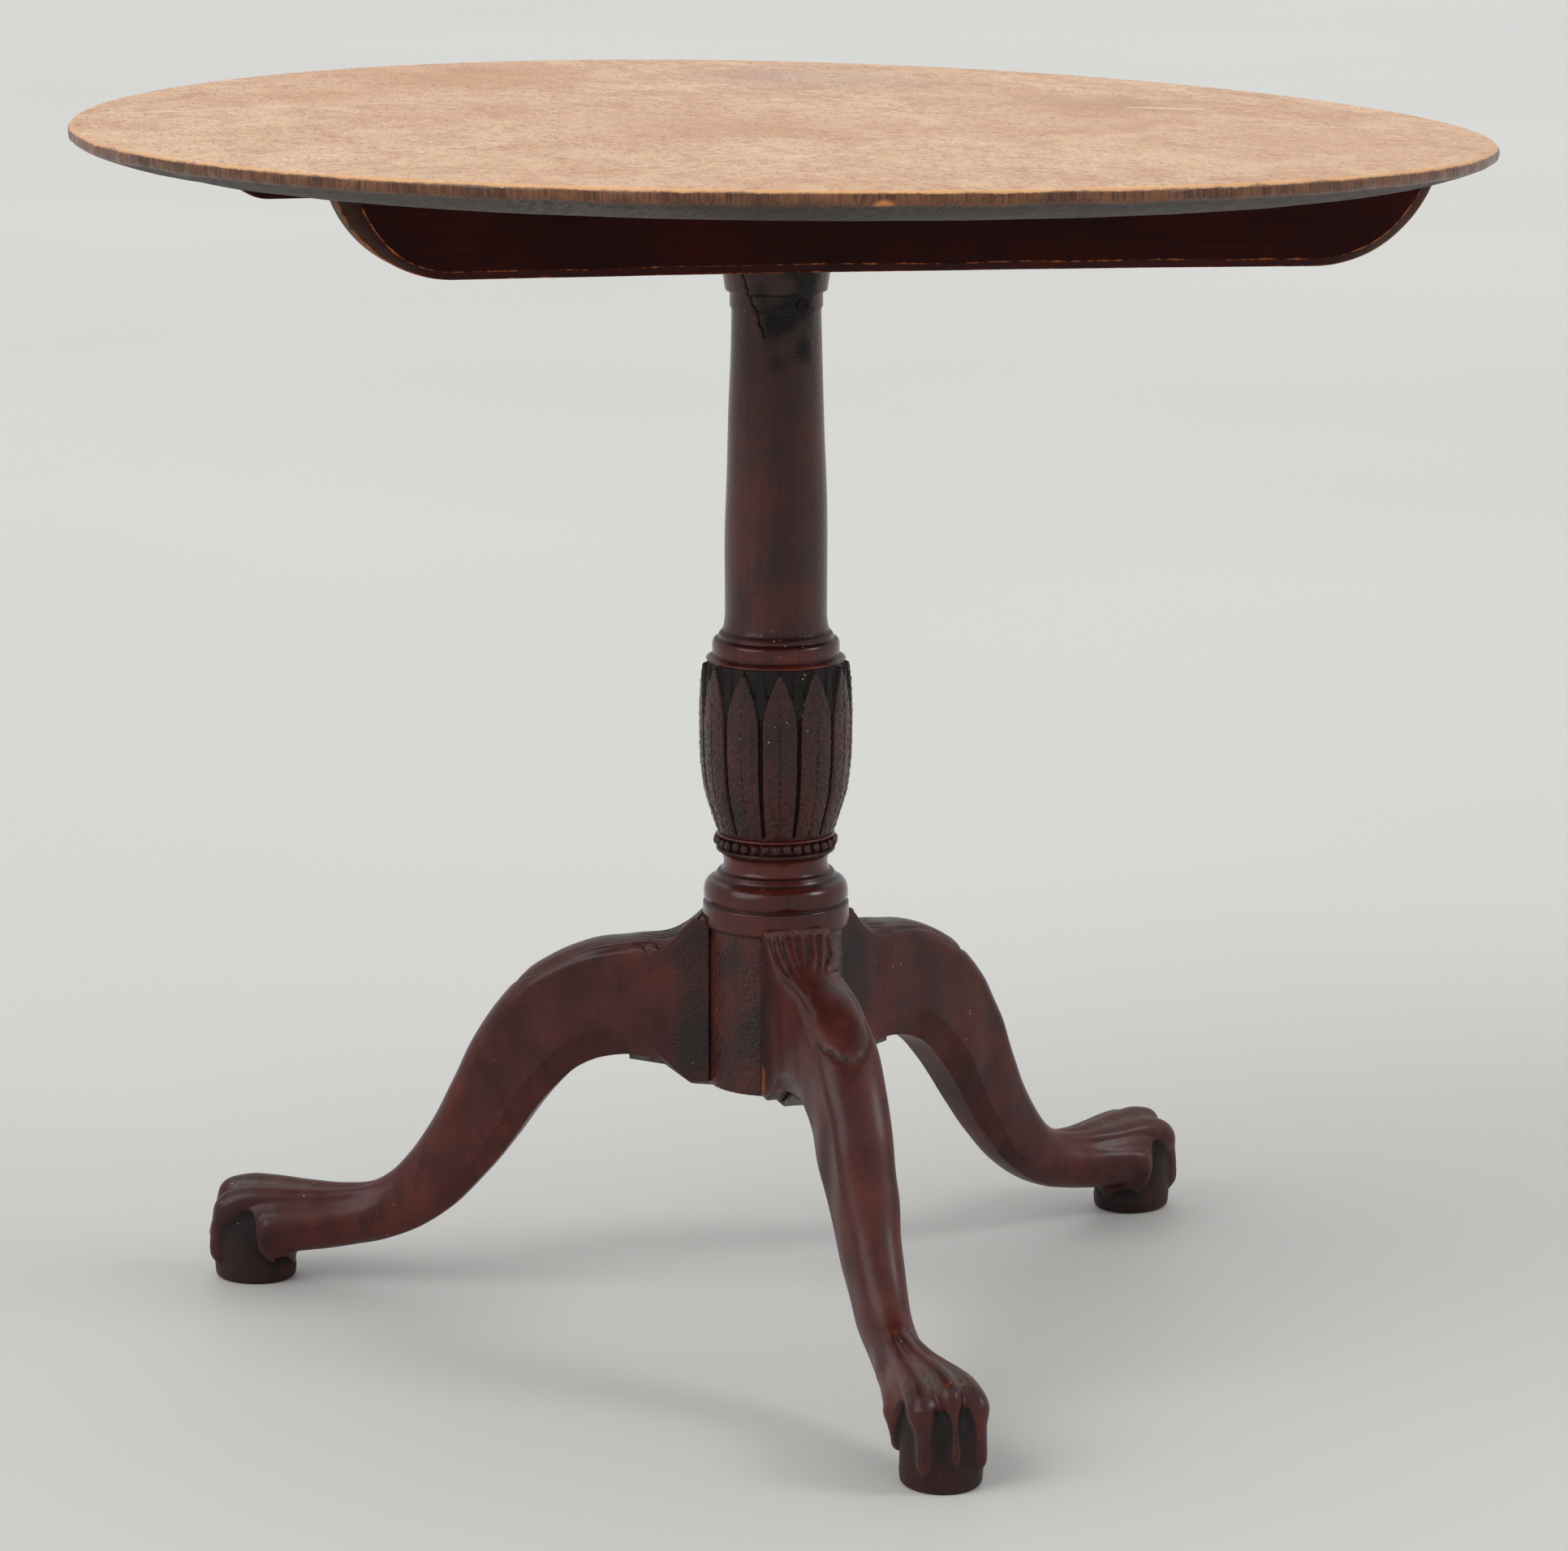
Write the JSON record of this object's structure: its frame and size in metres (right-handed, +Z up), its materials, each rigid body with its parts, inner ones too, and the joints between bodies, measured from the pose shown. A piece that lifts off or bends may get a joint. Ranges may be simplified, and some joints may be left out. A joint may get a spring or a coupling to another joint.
{
  "type": "tilt top table",
  "caption": "Round tilting table top on bearers, pivoting on a block over a turned and carved column with splayed paw-footed legs, and a hand-slid bolt that locks it.",
  "frame": {"origin": "on the floor, under the column's axis", "axes": "+Z up; X along the bearers, from the pivot at -X to the bolt at +X; Y along the pivot axis, with one leg towards -Y. The top leans 0.97 degrees down towards +X"},
  "size_m": [0.8228, 0.823, 0.7269],
  "materials": {
    "top_wood": "figured light wood, waxed and worn, with a darker stained rim",
    "dark_wood": "dark red-brown stained wood, semi-gloss, rubbed at the edges",
    "bearer_wood": "dark red-brown paint-like stain, rubbed to bare wood on the edges",
    "inner_wood": "unfinished brown wood",
    "iron": "old dark iron with a little rust"
  },
  "bodies": {
    "stand": {"pivot_block": "dark_wood", "tenon_wedges": "inner_wood", "pivot_pin_front": "inner_wood", "pivot_pin_rear": "inner_wood", "column": "dark_wood", "neck_peg": "inner_wood", "leg_front": "dark_wood", "leg_right": "dark_wood", "leg_left": "dark_wood", "stay_plate": "iron", "stay_screws": "iron", "strike_plate": "iron", "strike_screws": "iron"},
    "top": {"top_board_left": "top_wood", "top_board_middle": "top_wood", "top_board_right": "top_wood", "bearer_front": "bearer_wood", "bearer_rear": "bearer_wood", "bearer_screws_front": "iron", "bearer_screws_rear": "iron", "bolt_plate": "iron", "bolt_guide_front": "iron", "bolt_guide_rear": "iron", "bolt_leaf_spring": "iron", "bolt_plate_screws": "iron"},
    "bolt": {"bolt_bar": "iron", "bolt_knob": "iron"}
  },
  "joints": [
    {"name": "top_tilt", "type": "hinge", "parent": "stand", "child": "top", "pos_m": [-0.07441, 0, 0.68126], "axis": [0, -1, 0], "range_deg": [0, 90]},
    {"name": "bolt_slide", "type": "slide", "parent": "top", "child": "bolt", "axis": [-0.9999, 0, 0.0169], "range_m": [0, 0.014]}
  ]
}
